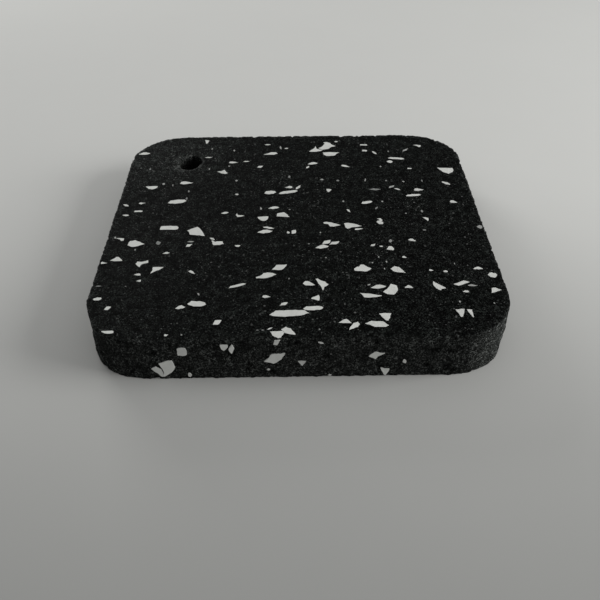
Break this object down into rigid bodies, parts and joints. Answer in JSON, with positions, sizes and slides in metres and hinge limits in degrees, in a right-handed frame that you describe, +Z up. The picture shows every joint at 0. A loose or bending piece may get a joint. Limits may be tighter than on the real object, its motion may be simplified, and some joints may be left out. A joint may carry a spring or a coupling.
{
  "type": "rubber gym floor tile",
  "caption": "Small square rubber gym floor tile with rounded corners, pale flecks in black crumb rubber and an oval hanging hole near one corner.",
  "frame": {"origin": "centre of the flat underside, where the tile rests on the floor", "axes": "+Z up through the thickness; +X to the right and +Y to the back, so the front edge faces -Y and the hanging hole is near the -X, +Y corner"},
  "size_m": [0.1, 0.1, 0.0115],
  "materials": {
    "flecked_rubber": "matt black crumb rubber with pale grey-white rubber chips and fine pale dust specks"
  },
  "bodies": {
    "root": {"rubber_tile": "flecked_rubber"}
  },
  "joints": []
}
